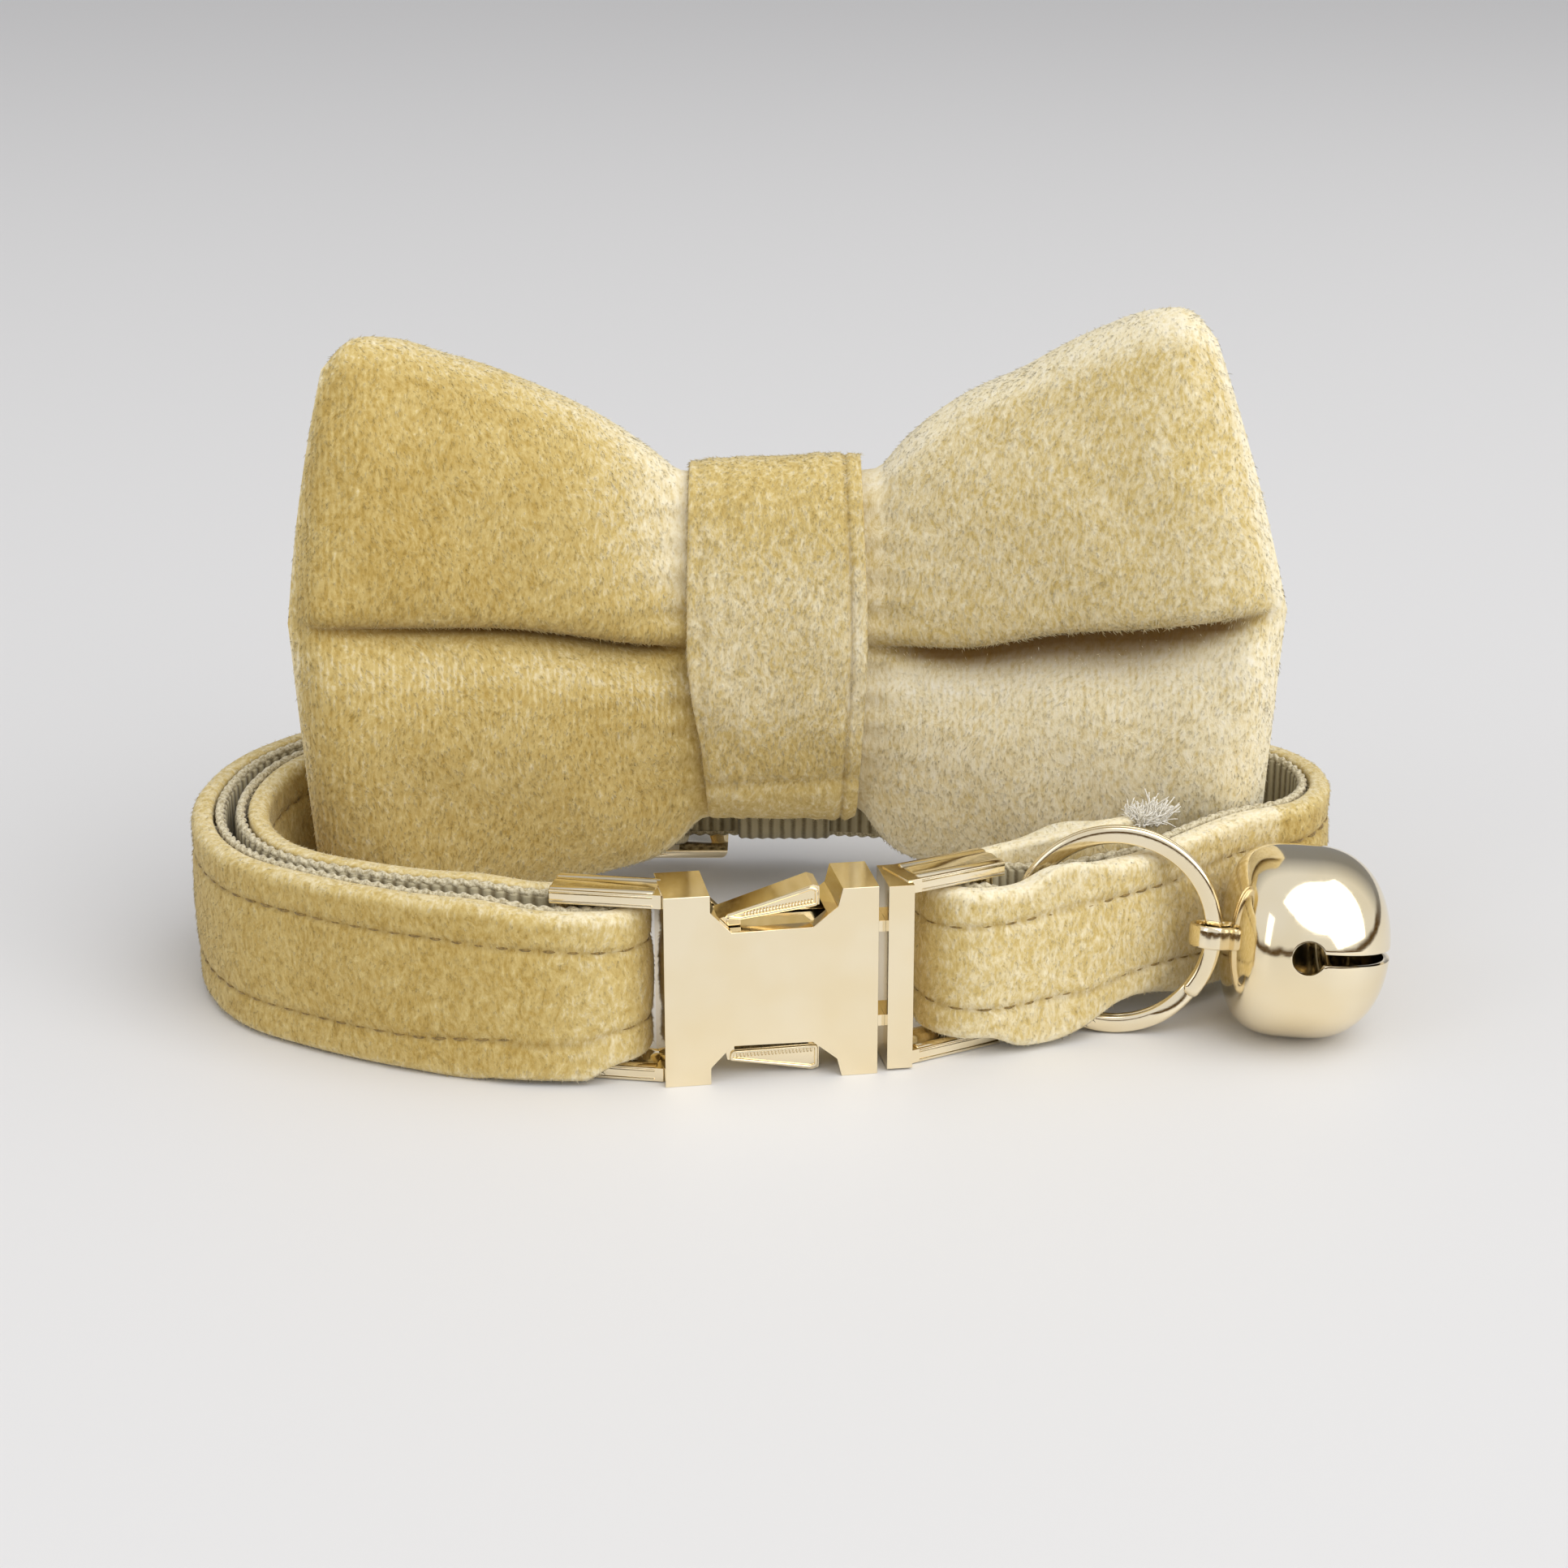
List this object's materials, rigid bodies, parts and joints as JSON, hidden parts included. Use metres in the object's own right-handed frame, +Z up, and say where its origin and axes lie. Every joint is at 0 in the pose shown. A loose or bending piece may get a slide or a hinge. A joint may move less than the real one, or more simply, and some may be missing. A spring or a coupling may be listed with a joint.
{
  "type": "pet bow tie collar",
  "caption": "Velvet pet collar lined with webbing, closed by a metal side-release buckle, with a split ring, a jingle bell, a slider and a padded bow held by a centre band.",
  "frame": {"origin": "middle of the bounding box, on the surface that the collar stands on", "axes": "+Z up, +X to the right along the buckle, from the socket half to the plug half, -Y the front with the buckle"},
  "size_m": [0.1068, 0.058, 0.0604],
  "materials": {
    "velvet": "golden beige short-pile velvet",
    "webbing": "ribbed woven webbing, greyish beige",
    "gilt_metal": "polished light gold plating",
    "elastic": "ribbed woven elastic"
  },
  "bodies": {
    "root": {"velvet_strap": "velvet", "webbing_lining": "webbing", "female_buckle": "gilt_metal", "male_buckle": "gilt_metal", "split_ring": "gilt_metal", "jingle_bell": "gilt_metal", "bow": "velvet", "bow_centre_band": "velvet", "bow_keeper": "elastic", "slider": "gilt_metal", "slider_tab": "webbing"}
  },
  "joints": []
}
